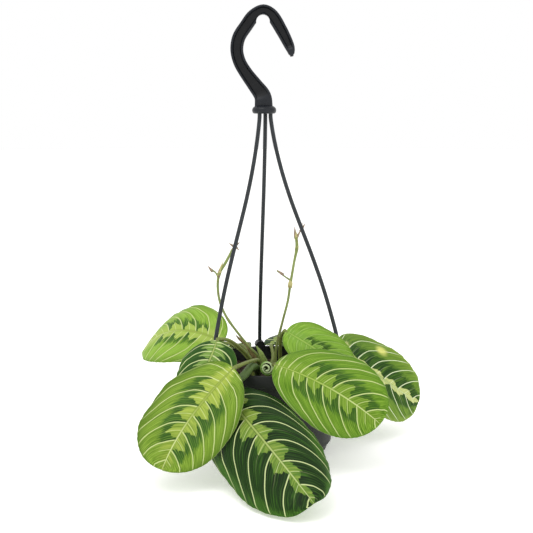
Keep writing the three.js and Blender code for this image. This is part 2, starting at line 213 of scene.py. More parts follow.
def routePoint(points, t):
    # a point on the centripetal curve through the points, t from 0 to 1
    p0, p1, p2, p3, w = span(points, t)
    d0, d1, d2 = [sqrt((b - a).length / mm) for a, b in ((p0, p1), (p1, p2), (p2, p3))]
    t1 = ((p1 - p0) / d0 - (p2 - p0) / (d0 + d1) + (p2 - p1) / d1) * d1
    t2 = ((p2 - p1) / d1 - (p3 - p1) / (d1 + d2) + (p3 - p2) / d2) * d1
    return cubic(p1, p2, t1, t2, w)


def evenPoint(points, t):
    # a point on the even curve through the points, which the hook's middle line follows
    p0, p1, p2, p3, w = span(points, t)
    return cubic(p1, p2, (p2 - p0) / 2, (p3 - p1) / 2, w)


def runAt(curve, points, t, near):
    # the way a curve runs at t, taken over a short stretch
    return curve(points, min(t + near, 1)) - curve(points, max(t - near, 0))


def route(points, steps):
    points = [spot(*point) for point in points]
    return [routePoint(points, i / steps) for i in range(steps + 1)]


def valueAlong(values, t):
    place = t * (len(values) - 1)
    k = min(int(place), len(values) - 2)
    return mix(values[k], values[k + 1], place - k)


def smoothShade(angle):
    # soft shading on the active piece, with its edges kept sharp where they turn by more than the angle
    bpy.ops.object.shade_smooth_by_angle(angle=radians(angle))


def openEdit(piece):
    bpy.ops.object.mode_set(mode="EDIT")
    return bmesh.from_edit_mesh(piece.data)


def closeEdit():
    bpy.ops.mesh.select_all(action="SELECT")
    bpy.ops.mesh.normals_make_consistent(inside=False)
    bpy.ops.object.mode_set(mode="OBJECT")


def flatSheet(columns, rows):
    bpy.ops.mesh.primitive_grid_add(x_subdivisions=columns, y_subdivisions=rows, size=2, calc_uvs=True)
    return bpy.context.object


def tube(line, radii, sides, flat=None, across=None):
    # a stem along a line, with its own thickness in millimetres at each point; flat narrows it across
    bpy.ops.curve.primitive_nurbs_path_add()
    piece = bpy.context.object
    curve = piece.data
    curve.splines.clear()
    spline = curve.splines.new("POLY")
    spline.points.add(len(line) - 1)
    for point, place, radius in zip(spline.points, line, radii):
        point.co = (*place, 1)
        point.radius = radius
    curve.bevel_depth = mm
    curve.bevel_resolution = sides
    curve.use_fill_caps = True
    pick(piece)
    bpy.ops.object.convert(target="MESH")
    bpy.ops.object.shade_smooth()
    piece = bpy.context.object
    for vertex in piece.data.vertices if flat else []:
        k = min(range(len(line)), key=lambda i: (vertex.co - line[i]).length)
        off = vertex.co - line[k]
        side = across * off.dot(across)
        vertex.co = line[k] + side + (off - side) * flat[k]
    return piece


def taperedTube(line, radii, sides):
    last = len(line) - 1
    return tube(line, [valueAlong(radii, i / last) for i in range(last + 1)], sides)


def thicken(sheet, thickness, offset=0):
    solid = sheet.modifiers.new("thickness", "SOLIDIFY")
    solid.thickness = thickness * mm
    solid.offset = offset
    return solid


def disc(sides, radius, **place):
    bpy.ops.mesh.primitive_circle_add(vertices=sides, radius=radius * mm, fill_type="NGON", **place)
    return bpy.context.object


def turned(profile, sides):
    # a turned solid from [radius, height] pairs, extruded ring by ring
    (before, level), *rest = profile
    piece = disc(sides, before, location=(0, 0, level * mm))
    openEdit(piece)
    for radius, z in rest:
        bpy.ops.mesh.extrude_region_move(TRANSFORM_OT_translate={"value": (0, 0, (z - level) * mm)})
        ratio = radius / before
        bpy.ops.transform.resize(value=(ratio, ratio, 1), center_override=(0, 0, 0))
        before, level = radius, z
    closeEdit()
    settle(piece)
    return piece


def cutWith(piece, tool, operation="DIFFERENCE"):
    boolean = piece.modifiers.new("cut", "BOOLEAN")
    boolean.operation = operation
    boolean.solver = "EXACT"
    boolean.object = tool
    applyAll(piece)
    bpy.data.objects.remove(tool)


def peg(x, y, bottom, top, radius):
    bpy.ops.mesh.primitive_cylinder_add(vertices=24, radius=radius * mm, depth=(top - bottom) * mm,
                                        location=spot(x, y, (top + bottom) / 2))
    settle(bpy.context.object)
    return bpy.context.object


# Pot

pot = {
    "height": 79, "rim": 60, "rimDepth": 11, "wallTop": 57.5, "wallFoot": 54, "foot": 49,
    "footDepth": 9, "wall": 2, "floor": 2.4, "sides": 96, "drain": 3, "drainCircle": 34,
}
ears = {
    "angles": {"left": 219.4, "right": -20.6, "back": 99.4}, "radius": 64, "top": 84, "bottom": 65,
    "width": 9, "inner": 57, "outer": 68, "socket": 2.15, "depth": 7, "square": 8, "footShare": 0.82,
    "edge": 0.9,
}


def aroundPot(angle, radius):
    return radius * cos(radians(angle)), radius * sin(radians(angle))


def earBlock(angle):
    half = ears["width"] / 2
    thick = ears["outer"] - ears["inner"]
    middle = (ears["outer"] + ears["inner"]) / 2
    block = disc(32, half, rotation=(radians(90), 0, 0))
    settle(block)
    mesh = openEdit(block)
    shoulder = ears["top"] - half - ears["bottom"]
    for vertex in mesh.verts:  # the lower half is drawn down to a narrower foot
        if vertex.co.z < -1e-6:
            vertex.co.z = -shoulder * mm * (1 - (vertex.co.x / half / mm) ** ears["square"])
            vertex.co.x *= ears["footShare"]
    bmesh.update_edit_mesh(block.data)
    bpy.ops.mesh.select_all(action="SELECT")
    bpy.ops.mesh.extrude_region_move(TRANSFORM_OT_translate={"value": (0, thick * mm, 0)})
    closeEdit()
    bevel = block.modifiers.new("round", "BEVEL")
    bevel.width = ears["edge"] * mm
    bevel.segments = 3
    bevel.limit_method = "ANGLE"
    bevel.angle_limit = radians(40)
    applyAll(block)
    smoothShade(35)
    block.location = spot(*aroundPot(angle, middle - thick / 2), ears["top"] - half)
    block.rotation_euler = (0, 0, radians(angle - 90))
    settle(block)
    return block


def makePot():
    rim, foot, wall, high = pot["rim"], pot["foot"], pot["wall"], pot["height"]
    wallTop, wallFoot, bend, floor = pot["wallTop"], pot["wallFoot"], pot["footDepth"], pot["floor"]
    rimFoot = high - pot["rimDepth"]
    body = turned([
        (foot - 1, 0), (foot + 0.4, 0.4), (foot + 1, 1.5), (wallFoot - 3.2, 4.4), (wallFoot - 1.3, 6.8),
        (wallFoot - 0.2, 8.2), (wallFoot, bend), (wallTop, rimFoot), (rim - 0.9, rimFoot + 0.1),
        (rim - 0.5, rimFoot + 0.6), (rim, high - 1), (rim - 0.3, high - 0.3), (rim - 0.8, high),
        (rim - 1.6, high), (rim - 1.9, high - 0.3), (rim - wall - 0.6, high - 1), (wallTop - wall, rimFoot),
        (wallFoot - wall, bend), (foot - wall, floor), (1, floor),
    ], pot["sides"])
    bore = turned([
        (foot - wall, floor + 0.2), (wallFoot - wall - 0.02, bend), (wallTop - wall - 0.02, rimFoot),
        (rim - wall - 0.62, high - 1), (rim - wall, high + 20),
    ], pot["sides"])
    blocks = [earBlock(angle) for angle in ears["angles"].values()]
    for block, angle in zip(blocks, ears["angles"].values()):
        x, y = aroundPot(angle, ears["radius"])
        cutWith(block, peg(x, y, ears["top"] - ears["depth"], ears["top"] + 5, ears["socket"]))
    for angle in range(30, 360, 60):
        x, y = aroundPot(angle, pot["drainCircle"])
        cutWith(body, peg(x, y, -2, 6, pot["drain"]))
    for block in blocks:
        cutWith(body, block, "UNION")
    cutWith(body, bore)
    pick(body)
    smoothShade(32)
    return body


def blackPlastic(name, base, worn, gloss, shadedRecess=None, shine=0.3):
    f = Finish(name)
    place = f.place()
    cloud = f.grain(place, 0.05, 4.0)
    grit = f.grain(place, 2.2, 3.0)
    dust = f.step(f.grain(place, 0.16, 5.0), 0.5, 0.75)
    # painted shade: the foot, below the bend, is darkened as though it stands in its own shade
    foot = 1 - f.step(f.part(place, 2), pot["footDepth"] - 0.5, pot["footDepth"] + 0.5)
    colour = f.blend(cloud * 0.5 + dust * 0.35, base, worn)
    colour = f.blend(foot * 0.6, colour, "0a0c0a")
    if shadedRecess:  # painted shade, darker down in the troughs
        deep = 1 - f.step(f.maths("ABSOLUTE", f.part(place, 1)), shadedRecess - 0.9, shadedRecess)
        colour = f.blend(deep * 0.85, colour, "07080a")
    rough = gloss + (cloud - 0.5) * 0.25 + dust * 0.1
    return f.dress(colour, rough, grit * 0.6 + cloud, 0.00012, Specular_IOR_Level=shine)


potPlastic = blackPlastic("potPlastic", "121513", "2b2e2a", 0.46)
finishPiece(makePot(), "growerPot", "pot", "pot_plastic", potPlastic)


# Soil

soil = {
    "level": 68, "radius": 54.4, "sides": 72, "loose": 53, "crumbs": 260, "crumbReach": 52,
    "crumbSize": (0.7, 1.9), "sunk": 0.25, "seed": 11,
}


def soilHeight(x, y):
    bumps = sin(x * 0.31 + 1) * cos(y * 0.27) + 0.6 * sin(x * 0.13 - y * 0.19)
    fine = noise.fractal(Vector((x * 0.16, y * 0.16, 3.0)), 1.0, 2.0, 5) * 0.9
    return soil["level"] + bumps * 0.8 + fine - 0.4


def makeSoil():
    random.seed(soil["seed"])
    radius, level = soil["radius"], soil["level"]
    wall = [(pot["foot"] - 2.6, 2.9), (51.5, 9.3), (radius, 64), (radius, 67.2)]
    body = turned(wall + [(ring, level) for ring in (52, *range(48, 0, -5), 0.4)], soil["sides"])
    subdivision = body.modifiers.new("fine", "SUBSURF")
    subdivision.subdivision_type = "SIMPLE"
    subdivision.levels = subdivision.render_levels = 1
    applyAll(body)
    for vertex in body.data.vertices:
        x, y, z = vertex.co / mm
        if z > level - 0.5 and hypot(x, y) < soil["loose"]:
            vertex.co.z = soilHeight(x, y) * mm
    crumbs = []
    for number in range(soil["crumbs"]):
        reach = soil["crumbReach"] * sqrt(random.random())
        x, y = aroundPot(random.uniform(0, 360), reach)
        size = random.uniform(*soil["crumbSize"])
        bpy.ops.mesh.primitive_ico_sphere_add(
            subdivisions=1, radius=size * mm, location=spot(x, y, soilHeight(x, y) + size * soil["sunk"]),
            rotation=[random.uniform(0, 3) for axis in range(3)],
            scale=(1, random.uniform(0.55, 1), random.uniform(0.5, 0.9)))
        crumbs.append(bpy.context.object)
    joinPieces(body, *crumbs)
    settle(body)
    smoothShade(50)
    return body


def soilFinish():
    f = Finish("pottingMix")
    place = f.place()
    coarse = f.grain(place, 0.35, 4.0)
    fine = f.grain(place, 1.6, 5.0)
    colour = f.blend(f.step(coarse, 0.35, 0.7), "1c1410", "4a3426")
    colour = f.blend(f.step(fine, 0.6, 0.72) * 0.6, colour, "6d5644")
    return f.dress(colour, 0.95, fine + coarse * 0.6, 0.0009)


finishPiece(makeSoil(), "pottingMix", "soil", "soil", soilFinish())


# Hanger

hanger = {
    "axisX": -6, "bottom": 297, "socketCircle": 5.6, "socketDepth": 5, "strand": 1.75,
    "sockets": {"left": 225, "right": -8, "back": 80},
}
strandSpread = [
    (301.7, 0), (297, 0), (294, 0), (275, 0.05), (250, 0.15), (225, 0.28), (200, 0.435), (175, 0.595),
    (150, 0.742), (125, 0.868), (104, 0.958), (88, 1), (84, 1), (77.3, 1),
]
hookLine = [
    (-6.3, 302, 7.8), (-7.4, 312, 7.3), (-14, 321.4, 6.4), (-21.4, 331.3, 5.7), (-27, 340.8, 5.5),
    (-29.4, 351, 5.5), (-27.6, 361.5, 5.6), (-21.5, 371, 5.6), (-15, 379.5, 5.5), (-6.6, 384.4, 4.6),
    (1.2, 379.5, 5.3), (8.4, 368.2, 5.1), (13.7, 358.2, 4.6), (16.5, 351.8, 3.8), (17.8, 345.5, 1.8),
]
hookBeam = {
    "thick": 8, "flange": 1.9, "web": 3, "steps": 84, "troughIn": (0.05, 0.1), "troughOut": (0.93, 0.9),
    "slack": 0.02, "tipFrom": 0.985, "tipShare": 0.72,
}
hookSaddle = {"x": -7, "z": 374.9, "radius": 5.8}
collarProfile = [
    (8.4, 0), (9.1, 0.15), (9.7, 0.6), (10.2, 1.4), (10.4, 2.4), (10.4, 3.2), (10.2, 4.1), (9.7, 5),
    (8.9, 5.8), (7.9, 6.4), (6.6, 6.9), (4.6, 7.2),
]


def beamProfile(half, trough):
    # the hook's section: two rounded flanges with a web between, as (across, through) points
    thick = hookBeam["thick"] / 2
    web = mix(thick, hookBeam["web"] / 2, trough)
    lip = max(half - hookBeam["flange"], 0.2)
    floor = max(lip - 0.9 * trough, 0.1)
    quarter = [
        (half, 0), (half, thick - 0.9), (half - 0.25, thick - 0.3), (half - 0.8, thick),
        (lip + 0.35, thick), (lip, mix(thick, thick - 0.35, trough)), (floor, web + 0.02),
        (floor * 0.5, web),
    ]
    upper = quarter + [(0, web)] + [(-x, y) for x, y in reversed(quarter)]
    lower = [(x, -y) for x, y in reversed(upper[1:-1])]
    return upper + lower


def makeBeam():
    middle = [spot(*point) for point in hookLine]
    steps = hookBeam["steps"]
    count = len(beamProfile(5, 1))
    beam = disc(count, 5)
    ring = list(openEdit(beam).verts)
    for i in range(steps + 1):
        t = i / steps
        if i > 0:
            before = [vertex.co.copy() for vertex in ring]
            bpy.ops.mesh.extrude_region()
            mesh = bmesh.from_edit_mesh(beam.data)
            ring = [vertex for vertex in mesh.verts if vertex.select]
            ring.sort(key=lambda vertex: min(range(count), key=lambda k: (vertex.co - before[k]).length))
        here = evenPoint(middle, t)
        along = runAt(evenPoint, middle, t, 0.004)
        along = Vector((along.x, 0, along.y)).normalized()
        centre = Vector((here.x, 0, here.y))
        across = Vector((-along.z, 0, along.x))
        trough = ramp(t, *hookBeam["troughIn"]) * ramp(t, *hookBeam["troughOut"])
        half = here.z / mm - hookBeam["slack"]
        if t > hookBeam["tipFrom"]:
            half *= hookBeam["tipShare"]
        for vertex, (x, y) in zip(ring, beamProfile(half, trough)):
            vertex.co = centre + across * x * mm + Vector((0, y * mm, 0))
        bmesh.update_edit_mesh(beam.data)
    closeEdit()
    settle(beam)
    bpy.ops.mesh.primitive_cylinder_add(vertices=48, radius=hookSaddle["radius"] * mm, depth=20 * mm,
                                        location=spot(hookSaddle["x"], 0, hookSaddle["z"]),
                                        rotation=(radians(90), 0, 0))
    cutWith(beam, bpy.context.object)  # the rounded seat that a rail sits in
    pick(beam)
    smoothShade(42)
    return beam


def makeCollar():
    bottom = hanger["bottom"]
    collar = turned([(radius, bottom + z) for radius, z in collarProfile], 64)
    for angle in hanger["sockets"].values():
        x, y = aroundPot(angle, hanger["socketCircle"])
        cutWith(collar, peg(x, y, bottom - 2, bottom + hanger["socketDepth"], ears["socket"]))
    collar.location.x = hanger["axisX"] * mm
    settle(collar)
    smoothShade(35)
    return collar


def makeStrand(side):
    x0, y0 = aroundPot(hanger["sockets"][side], hanger["socketCircle"])
    x1, y1 = aroundPot(ears["angles"][side], ears["radius"])
    points = [(mix(x0 + hanger["axisX"], x1, out), mix(y0, y1, out), z) for z, out in strandSpread]
    line = route(points, 84)
    return tube(line, [hanger["strand"]] * len(line), 4)


hangerPlastic = blackPlastic("hangerPlastic", "1c2023", "33383c", 0.42)
hookPlastic = blackPlastic("hookPlastic", "111419", "272a2f", 0.36, 3.4, 0.24)
finishPiece(joinPieces(makeBeam(), makeCollar()), "hangerHook", "hanger_hook", "hanger_plastic", hookPlastic)
for side in ears["angles"]:
    finishPiece(makeStrand(side), "hangerStrand_" + side, "hanger_strand_" + side, "hanger_plastic",
                hangerPlastic)


# Leaves

blade = {
    "thick": 0.8, "sheet": 0.5, "gap": 0.4, "ease": 6, "fold": 6, "waves": 2.5, "columns": 72, "rows": 116,
    "power": 2.2, "lead": 0.95, "narrowest": 0.6, "quilt": 0.42, "ripple": 0.5, "ripples": 9,
    "scallop": 0.018, "sunk": 0.15, "steps": 60, "crowding": 0.35,
    "fit": 0.995,  # a touch short, so that no tip passes the frame's box
}
stalks = {
    "radii": [2.2, 2.2, 1.9, 1.5, 1.5], "steps": 44, "inset": 1.2, "knee": 0.35, "kneeShare": 0.07,
    "rib": (1.35, 0.3), "ribSteps": 32,
}
soilFoot = [52, 69, 72]

# Heading, pitch and roll are given at the base and at the tip, cup and full for the left and right half.
# What is a leaf's own takes the place of the same value of its look. A spot has a place and a size.
leaves = {
    "leaf_front_left": {
        "look": "light", "base": (-31, -80, 91.4), "length": 105, "width": 75, "heading": (196, 250),
        "pitch": (-43, -40), "roll": (30, 25), "cup": (16, 18), "wave": 1.8, "seed": 3, "offset": 0.55,
        "stem": [(-13, -22), (-12, -26, 78), (-11, -34, 86.5), (-19, -59, 91.5)],
        "own": {"margin": "42620f", "cell": ("4b6b0f", "75942c")},
    },
    "leaf_front": {
        "look": "dark", "base": (-42, -64, 68), "length": 154, "width": 88, "heading": (297, 304),
        "pitch": (-14, -26), "roll": (-43, -35), "cup": (76, 36), "wave": 0.6, "seed": 8, "offset": 0.3,
        "full": (2.2, 2.7),
        "stem": [(-12, -30), (-12, -35, 79), (-17, -50, 84.6), (-22.5, -62, 81), (-34, -67, 72)],
        "sheath": [
            (2.2, 2.2), (2.2, 2.2), (2.4, 2.4), (3.2, 3), (4.4, 3.6), (4.8, 3.6), (3.4, 2.6), (1.8, 1.6),
        ],
    },
    "leaf_right": {
        "look": "light", "base": (3, -61, 89.9), "length": 101.5, "width": 73.5, "heading": (345, 345),
        "pitch": (-14, -39), "roll": (-22, -74), "cup": (20, 12), "wave": 0.8, "seed": 5, "offset": 0.4,
        "stem": [(9, -27), (8.5, -34, 80), (5.5, -52, 88)],
        "own": {
            "cell": ("43690c", "678d23"), "band": ("708f2c", "55761a"), "margin": "4a7317", "rib": "93a94c",
        },
    },
    "leaf_upper_right": {
        "look": "light", "base": (13, -21, 110), "length": 68, "width": 43, "heading": (340, 335),
        "pitch": (-26, -30), "roll": (-50, -50), "cup": (8, -20), "wave": 0.8, "seed": 9, "offset": 0.2,
        "stem": [(9, -7), (8, -8, 84), (9, -16, 105)],
        "own": {
            "firstCell": 2, "lastCell": 4.6, "blotchReach": 0.4, "vein": "9dbb62", "veinShare": 0.5,
            "band": ("6f9636", "6f9636"), "bandWidth": (0.22, 0.18), "sides": (1, 0),
            "cell": ("56801a", "7fa63a"), "rib": "8aa84a",
        },
    },
    "leaf_far_right": {
        "look": "dark", "base": (60, 16, 93), "length": 108, "width": 72, "heading": (366, 395),
        "pitch": (-44, -31), "roll": (-26, -78), "cup": (8, 13), "wave": 0.6, "seed": 2, "offset": 0.4,
        "count": 7,
        "stem": [(18, 4), (20, 4.5, 82), (34, 9, 95), (49, 14, 98)],
        "spot": (0.125, 0.455, 0.09),
        "own": {
            "blotchReach": 0.5, "vein": "d9e4b8", "bandWidth": (0.04, 0.17), "lighten": 0.4,
            "veinWidth": 0.9, "cell": ("3c5e14", "72902e"), "margin": "7d963a",
            "blotch": ("18360a", "385c14"), "firstCell": 1, "baseShade": 0.25, "band": ("b9c07a", "b9c07a"),
        },
    },
    "leaf_upper_left": {
        "look": "light", "base": (-43, 3, 94.5), "length": 108, "width": 62, "heading": (154, 131),
        "pitch": (23, -47), "roll": (58, 36), "cup": (50, 30), "wave": 0.8, "seed": 6, "offset": 0.5,
        "stem": [(-15, -7), (-17, -8, 78), (-27, -3, 89), (-37, 1, 94)],
        "own": {
            "blotchReach": 0.38, "bandWidth": (0.26, 0.2), "lastCell": 5.6, "blotch": ("2c5216", "4a7424"),
            "cell": ("6a9020", "8cb046"), "band": ("98ae4e", "98ae4e"),
        },
    },
    "leaf_left": {
        "look": "dark", "base": (-46, -46.5, 107.5), "length": 66, "width": 52, "heading": (254, 202),
        "pitch": (-42, -62), "roll": (2, 36), "cup": (46, 29), "wave": 0.6, "seed": 4, "offset": 0.3,
        "stem": [(-15, -14.5), (-17, -17, 82), (-25, -25, 94), (-37, -39, 106)],
        "own": {
            "bandWidth": (0.4, 0.36), "band": ("6c8b3c", "6c8b3c"), "blotch": ("1b3a10", "2c5216"),
        },
    },
    "leaf_back": {
        "look": "dark", "base": (0.5, 37, 85), "length": 84, "width": 40, "heading": (61, 69),
        "pitch": (25, -66), "roll": (10, 4), "cup": (35, 35), "wave": 0.6, "seed": 7, "offset": 0.5,
        "stem": [(1, 18), (2, 21, 76), (1, 30, 82.5)],
    },
    "leaf_back_left": {
        "look": "light", "base": (-33, 43, 84), "length": 98, "width": 60, "heading": (118, 106),
        "pitch": (-14, -80), "roll": (6, 0), "cup": (15, 15), "wave": 0.8, "seed": 1, "offset": 0.3,
        "stem": [(-15, 16), (-17, 20, 77), (-27, 35, 84.5)],
    },
    "leaf_back_right": {
        "look": "dark", "base": (39, 34, 86), "length": 94, "width": 60, "heading": (35, 29),
        "pitch": (2, -78), "roll": (-6, 0), "cup": (15, 15), "wave": 0.6, "seed": 10, "offset": 0.6,
        "stem": [(15, 15), (18, 18, 77), (30, 30, 86)],
    },
}
veins = {
    "count": 7.4, "crowd": 0.7, "lean": 0.22, "curve": 0.08, "sweep": 0.24, "spread": 0.72,
}


def stemLine(stem, steps):
    # up through the soil at the stem's (x, y), then through its other points
    (x, y), *rest = stem
    return route([(x, y, z) for z in soilFoot] + rest, steps)


def veinSweep(out):
    # how far along the leaf a vein has run when it is out from the midrib, as a share of the half width
    return out * (veins["lean"] + out * (veins["curve"] + out * veins["sweep"]))


def veinStart(out, t):
    # where the vein through a point leaves the midrib; the first ones fan out along the leaf's base
    return t - veinSweep(out) * t * (2 - t)


def fullness(t, power):
    # the outline's width at t, as a share of the widest
    return max(1 - abs(2 * t ** blade["lead"] - 1) ** power, 0) ** (1 / power)


def veinPhase(leaf, s, t):
    start = max(veinStart(abs(s) * fullness(t, blade["power"]) ** veins["spread"], t), 0)
    stagger = 0.5 if s > 0 else 0
    return leaf.get("count", veins["count"]) * start ** veins["crowd"] + stagger + leaf["offset"]


def alongMidrib(leaf, t):
    heading = radians(mix(*leaf["heading"], t))
    pitch = radians(mix(*leaf["pitch"], t))
    level = cos(pitch)
    return Vector((level * cos(heading), level * sin(heading), sin(pitch)))


def midribOf(leaf):
    steps = blade["steps"]
    points = [spot(*leaf["base"])]
    for i in range(steps):
        step = alongMidrib(leaf, i / steps) + alongMidrib(leaf, (i + 1) / steps)
        points.append(points[-1] + step * leaf["length"] * blade["fit"] * mm / steps / 2)
    return points


def bladeFrame(leaf, midrib, t):
    place = t * (len(midrib) - 1)
    k = min(int(place), len(midrib) - 2)
    centre = midrib[k].lerp(midrib[k + 1], place - k)
    along = alongMidrib(leaf, t)
    heading = radians(mix(*leaf["heading"], t))
    level = Vector((sin(heading), -cos(heading), 0))
    across = Quaternion(along, -radians(mix(*leaf["roll"], t))) @ level
    return centre, across, across.cross(along)


def halfWidth(leaf, t, s):
    powers = leaf.get("full", (blade["power"], blade["power"]))
    return leaf["width"] / 2 * fullness(t, powers[0 if s < 0 else 1])


def bladePoint(leaf, bladeAt, t, s):
    centre, across, up = bladeAt
    half = max(halfWidth(leaf, t, s), blade["narrowest"])
    curl = radians(leaf["cup"][0 if s < 0 else 1])
    fold = radians(blade["fold"])
    reach = abs(s)
    side = -1 if s < 0 else 1
    slope = fold - curl * reach
    phase = veinPhase(leaf, s, t)
    half *= 1 - blade["scallop"] * reach ** 6 * t ** 2 * sin(2 * pi * phase) ** 2
    out = (sin(fold) - sin(slope)) / curl * half * side
    rise = (cos(slope) - cos(fold)) / curl * half
    swell = sin(pi * t)
    wave = leaf["wave"] * reach ** 3 * swell * sin(blade["waves"] * 2 * pi * t + 2 * s)
    ripple = sin(blade["ripples"] * 2 * pi * t + leaf["seed"] + s)
    ripple *= blade["ripple"] * reach ** 8 * t
    cell = phase % 1
    quilt = blade["quilt"] * (4 * cell * (1 - cell)) ** 0.6 * swell
    quilt *= min(reach * 5, 1) * min((1 - reach) * 4, 1)  # it fades at the midrib and at the margin
    normal = up * cos(slope) - across * side * sin(slope)
    point = centre / mm + across * out + up * rise + normal * (wave + ripple + quilt - blade["sunk"])
    lowest = blade["thick"] + blade["gap"]
    over = point.z - lowest - blade["ease"]
    if over < 0:  # eased out level, just above the surface that the pot stands on
        point.z = lowest + blade["ease"] * exp(over / blade["ease"])
    return point * mm


def makeBlade(leaf, midrib):
    sheet = flatSheet(blade["columns"], blade["rows"])
    mesh = sheet.data
    mesh.uv_layers.active.name = "blade"
    places = []
    frames = {}
    for vertex in mesh.vertices:
        x, y, z = vertex.co
        s = mix(x, sin(x * pi / 2), blade["crowding"])
        t = (1 - cos(pi * (y + 1) / 2)) / 2
        row = round(y, 5)
        if row not in frames:
            frames[row] = bladeFrame(leaf, midrib, t)
        places.append((s, t))
        vertex.co = bladePoint(leaf, frames[row], t, s)
    layer = mesh.uv_layers["blade"].data
    for loop in mesh.loops:
        s, t = places[loop.vertex_index]
        layer[loop.index].uv = ((s + 1) / 2, t)
    thicken(sheet, blade["sheet"], -1).material_offset = 1
    return sheet


def makeStalk(leaf, midrib):
    # the stalk out of the soil, and the midrib that goes on under the blade, as one tapered stem
    centre, across, up = bladeFrame(leaf, midrib, 0)
    joint = (centre - alongMidrib(leaf, 0) * stalks["inset"] * mm - up * blade["thick"] * mm) / mm
    line = stemLine(leaf["stem"] + [tuple(joint)], stalks["steps"])
    radii = []
    flat = []
    for i in range(len(line)):
        t = i / (len(line) - 1)
        knee = stalks["knee"] * exp(-((1 - t) / stalks["kneeShare"]) ** 2)
        radii.append(valueAlong(stalks["radii"], t) + knee)
        flat.append(1)
        if "sheath" in leaf:  # a broad sheath wraps this stalk, wider across than it is thick
            wide, thick = [valueAlong(values, t) for values in zip(*leaf["sheath"])]
            radii[-1] = wide
            flat[-1] = thick / wide
    for i in range(1, stalks["ribSteps"] - 2):
        t = i / stalks["ribSteps"]
        centre, level, up = bladeFrame(leaf, midrib, t)
        radius = mix(*stalks["rib"], t ** 0.8)
        line.append(centre - up * (blade["sheet"] + radius * 0.8) * mm)
        radii.append(radius)
        flat.append(1)
    return tube(line, radii, 4, flat if "sheath" in leaf else None, across)


# Two colours are mixed by the stripes. The bandWidth, at the base and at the tip, and the blotchReach are
# shares of the half width. Cells are counted from the base, and sides are the left and the right half.
leafLooks = {
    "light": {
        "cell": ("51710f", "79982d"), "margin": "577b1b", "band": ("98a944", "5f7a20"),
        "blotch": ("22450a", "3a6317"), "vein": "c6d28c", "under": "7d9c4e",
        "bandWidth": (0.34, 0.25), "blotchReach": 0.5, "firstCell": 2, "lastCell": 6.6, "veinShare": 0.8,
        "lighten": 0.0, "line": "9bb44c", "lineShare": 0.48, "sides": (1, 1), "veinWidth": 1.1,
        "rib": "8c9c45", "ribFade": 1.0, "baseShade": 0.0,
    },
    "dark": {
        "cell": ("1b3706", "365f12"), "margin": "335a17", "band": ("83983f", "4b6c20"),
        "blotch": ("0c2203", "1a380a"), "vein": "c3cf92", "under": "76944c",
        "bandWidth": (0.28, 0.14), "blotchReach": 0.84, "firstCell": 0, "lastCell": 12, "veinShare": 0.9,
        "lighten": 0.5, "line": "557e30", "lineShare": 0.42, "sides": (1, 1), "veinWidth": 1.15,
        "rib": "94a558", "ribFade": 0.5, "baseShade": 0.0,
    },
}


def veinMap(f, leaf, a, t):
    # where the vein through a point starts, and how many starts a millimetre across the veins takes up
    u = f.maths("ABSOLUTE", t ** blade["lead"] * 2 - 1)
    out = a * f.maths("MAXIMUM", 1 - u ** blade["power"], 0.0001) ** (veins["spread"] / blade["power"])
    start = f.maths("MAXIMUM", veinStart(out, t), 0.0)
    lean = (out * (out * (3 * veins["sweep"]) + 2 * veins["curve"]) + veins["lean"]) * (t * (2 - t))
    across = lean * (2 / leaf["width"])
    along = (1 - veinSweep(out) * (2 - 2 * t)) / leaf["length"]
    return start, (across * across + along * along) ** 0.5


class BladeMap:
    # Where a point lies on a blade: a out from the midrib, t along it, q across its cell between two veins.
    def __init__(self, f, leaf):
        self.uv = f.node("ShaderNodeUVMap", {"uv_map": "blade"}, [])
        s = f.part(self.uv, 0) * 2 - 1
        self.t = f.part(self.uv, 1)
        self.a = f.maths("ABSOLUTE", s)
        self.side = f.maths("GREATER_THAN", s, 0.0)
        wander = f.grain(f.stretched(self.uv, 5.0, 7.0, 1.0), 1.0, 1.0)
        start, steep = veinMap(f, leaf, self.a, self.t)
        self.start = f.maths("MAXIMUM", start + (wander - 0.5) * 0.02, 0.0)
        count = leaf.get("count", veins["count"])
        phase = self.start ** veins["crowd"] * count + self.side * 0.5 + leaf["offset"]
        self.cell = f.maths("FLOOR", phase)
        self.q = phase - self.cell
        self.hollow = self.q * (1 - self.q) * 4
        crowding = f.maths("MAXIMUM", self.start, 0.01) ** (veins["crowd"] - 1)
        self.crossing = steep * crowding * (count * veins["crowd"])
        draw = {"W": self.cell + self.side * 31.0 + leaf["seed"]}
        self.chance = f.node("ShaderNodeTexWhiteNoise", {"noise_dimensions": "1D"}, draw)

        # fine stripes and threads that run along with the veins
        lane = self.side * 3.0 + leaf["seed"]
        self.streak = f.grain(f.joined(phase * 6.0, self.a * 1.6, lane), 1.0, 3.0)
        self.fine = f.grain(f.joined(phase * 17.0, self.a * 2.4, lane), 1.0, 3.0)
        self.stripes = (self.streak - 0.5) * 2.0 + (self.fine - 0.5) * 2.6 + 0.5
        thread = f.maths("ABSOLUTE", f.maths("FRACT", phase * 8.0 + self.streak * 1.2) - 0.5)
        thread = (1 - f.step(thread, 0.04, 0.3)) * f.step(self.fine, 0.3, 0.65)
        self.thread = thread * (1 - f.step(self.a, 0.9, 1.0))


def veinLines(f, m, look):
    # the veins between the cells, and a short faint one along the middle of each cell
    nearest = f.maths("MINIMUM", m.q, 1 - m.q) / m.crossing
    width = look["veinWidth"] * (1 - m.a * 0.3)
    vein = (1 - f.step(nearest, width * 0.28, width * 0.72)) * (1 - f.step(m.a, 0.84, 0.99) * 0.7)
    vein = vein * f.step(m.a, 0.0, 0.05) * f.maths("GREATER_THAN", m.start, 0.002)
    middle = f.maths("ABSOLUTE", m.q - 0.47) / m.crossing
    return vein, (1 - f.step(middle, 0.1, 0.45)) * (1 - f.step(m.a, 0.2, 0.6)) * 0.6


